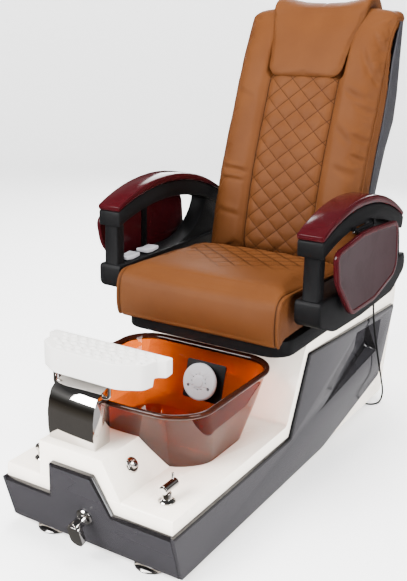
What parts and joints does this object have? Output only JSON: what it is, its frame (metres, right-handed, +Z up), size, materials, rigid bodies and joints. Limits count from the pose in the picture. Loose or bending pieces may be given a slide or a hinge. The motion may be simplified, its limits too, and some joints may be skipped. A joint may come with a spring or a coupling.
{
  "type": "pedicure spa chair",
  "caption": "Salon pedicure chair: padded reclining seat with lifting armrests and fold-out side trays, on a sliding carriage over a foot-bath base with foot rest and taps.",
  "frame": {"origin": "on the floor, under the middle of the chair's bounding box (the mains lead is left out of that box)", "axes": "+X to the sitter's left, +Y to the rear (the sitter faces -Y), +Z up"},
  "size_m": [0.852, 1.8104, 1.4634],
  "materials": {
    "cream_gelcoat": "glossy cream gelcoat",
    "black_gloss": "high-gloss black",
    "amber_resin": "clear-coated amber resin",
    "chrome": "polished chrome plate",
    "white_plastic": "smooth white",
    "grey_plastic": "light grey",
    "black_plastic": "satin black",
    "shell_grey": "textured charcoal",
    "tan_leather": "grained tan leather over foam",
    "burgundy_gloss": "dark cherry lacquer",
    "frame_steel": "powder-coated dark grey",
    "bright_steel": "ground steel",
    "black_rubber": "matt black rubber"
  },
  "bodies": {
    "base": {"tub_shell": "cream_gelcoat", "side_panel_left": "black_gloss", "side_panel_right": "black_gloss", "front_panel": "black_gloss", "floor_frame": "frame_steel", "foot_front_left": "chrome", "foot_front_right": "chrome", "foot_rear_left": "chrome", "foot_rear_right": "chrome", "foot_bowl": "amber_resin", "bowl_drain": "chrome", "jet_plate": "black_plastic", "jet_housing": "grey_plastic", "jet_cover": "white_plastic", "jet_motor": "black_plastic", "waterfall_cover": "chrome", "mixer_base_left": "chrome", "mixer_base_right": "chrome", "diverter_collar": "chrome", "drain_flange": "chrome", "seat_rail_left": "bright_steel", "seat_rail_right": "bright_steel", "slide_motor": "black_plastic", "cord_outlet": "black_plastic", "strain_relief": "black_rubber", "power_cord": "black_rubber", "cord_coil": "black_rubber", "mains_plug": "black_rubber"},
    "impeller": {"jet_impeller": "black_plastic"},
    "tap_left": {"mixer_handle_left": "chrome"},
    "tap_right": {"mixer_handle_right": "chrome"},
    "diverter": {"diverter_knob": "chrome"},
    "drain": {"drain_lever": "chrome"},
    "foot_rest": {"footrest_pad": "white_plastic", "footrest_rod": "chrome"},
    "seat": {"seat_carriage": "frame_steel", "seat_skirt": "black_plastic", "seat_cushion": "tan_leather", "recline_motor": "black_plastic", "slide_rod": "bright_steel"},
    "recline_push": {"recline_rod": "bright_steel"},
    "back": {"back_frame": "frame_steel", "back_shell": "shell_grey", "back_cushion": "tan_leather", "head_pillow": "tan_leather"},
    "massage": {"massage_carriage": "black_plastic"},
    "massage_roller_left": {"roller_left": "black_rubber"},
    "massage_roller_right": {"roller_right": "black_rubber"},
    "arm_left": {"arm_frame_left": "black_plastic", "arm_cap_left": "burgundy_gloss", "tray_pin_left": "chrome"},
    "arm_right": {"arm_frame_right": "black_plastic", "arm_cap_right": "burgundy_gloss", "tray_pin_right": "chrome"},
    "side_tray_left": {"tray_left": "burgundy_gloss", "tray_hinge_left": "black_plastic"},
    "side_tray_right": {"tray_right": "burgundy_gloss", "tray_hinge_right": "black_plastic"},
    "slide_switch": {"switch_slide": "grey_plastic"},
    "recline_switch": {"switch_recline": "grey_plastic"}
  },
  "joints": [
    {"name": "seat_slide", "type": "slide", "parent": "base", "child": "seat", "axis": [0, -1, 0], "range_m": [-0.04, 0.12]},
    {"name": "recline", "type": "hinge", "parent": "seat", "child": "back", "pos_m": [0, 0.397, 0.555], "axis": [-1, 0, 0], "range_deg": [0, 30]},
    {"name": "recline_push", "type": "slide", "parent": "seat", "child": "recline_push", "axis": [0, -1, 0], "range_m": [0, 0.0436]},
    {"name": "massage_travel", "type": "slide", "parent": "back", "child": "massage", "axis": [0, 0.3446, 0.9387], "range_m": [-0.1, 0.1]},
    {"name": "roller_spin_left", "type": "hinge", "parent": "massage", "child": "massage_roller_left", "pos_m": [0, 0.54998, 1.04892], "axis": [1, 0, 0], "continuous": true},
    {"name": "arm_lift_left", "type": "hinge", "parent": "seat", "child": "arm_left", "pos_m": [0.3, 0.489, 0.58], "axis": [-1, 0, 0], "range_deg": [0, 70]},
    {"name": "tray_flip_left", "type": "hinge", "parent": "arm_left", "child": "side_tray_left", "pos_m": [0.4, 0.107, 0.81], "axis": [0, -1, 0], "range_deg": [0, 90]},
    {"name": "mixer_turn_left", "type": "hinge", "parent": "base", "child": "tap_left", "pos_m": [0.205, -0.688, 0.2234], "axis": [0, 0, 1], "range_deg": [-45, 45]},
    {"name": "roller_spin_right", "type": "hinge", "parent": "massage", "child": "massage_roller_right", "pos_m": [0, 0.54998, 1.04892], "axis": [1, 0, 0], "continuous": true},
    {"name": "arm_lift_right", "type": "hinge", "parent": "seat", "child": "arm_right", "pos_m": [-0.3, 0.489, 0.58], "axis": [-1, 0, 0], "range_deg": [0, 70]},
    {"name": "tray_flip_right", "type": "hinge", "parent": "arm_right", "child": "side_tray_right", "pos_m": [-0.4, 0.107, 0.81], "axis": [0, 1, 0], "range_deg": [0, 90]},
    {"name": "mixer_turn_right", "type": "hinge", "parent": "base", "child": "tap_right", "pos_m": [-0.205, -0.688, 0.2234], "axis": [0, 0, 1], "range_deg": [-45, 45]},
    {"name": "footrest_tilt", "type": "hinge", "parent": "base", "child": "foot_rest", "pos_m": [0, -0.679, 0.444], "axis": [1, 0, 0], "range_deg": [-6, 25]},
    {"name": "drain_turn", "type": "hinge", "parent": "base", "child": "drain", "pos_m": [0, -0.76151, 0.12588], "axis": [0, -0.9545, -0.2983], "range_deg": [-90, 90]},
    {"name": "diverter_turn", "type": "hinge", "parent": "base", "child": "diverter", "pos_m": [0.084, -0.661, 0.2599], "axis": [0.8604, 0, 0.5096], "range_deg": [-45, 45]},
    {"name": "impeller_spin", "type": "hinge", "parent": "base", "child": "impeller", "pos_m": [0.016, -0.17888, 0.31471], "axis": [0, -0.964, 0.2659], "continuous": true},
    {"name": "slide_rock", "type": "hinge", "parent": "arm_right", "child": "slide_switch", "pos_m": [-0.347, -0.073, 0.6385], "axis": [1, 0, 0], "range_deg": [-4, 4]},
    {"name": "recline_rock", "type": "hinge", "parent": "arm_right", "child": "recline_switch", "pos_m": [-0.347, 0.039, 0.6385], "axis": [1, 0, 0], "range_deg": [-4, 4]}
  ],
  "couplings": [
    {"joint": "recline_push", "follows": "recline", "m_per_rad": 0.0831}
  ]
}
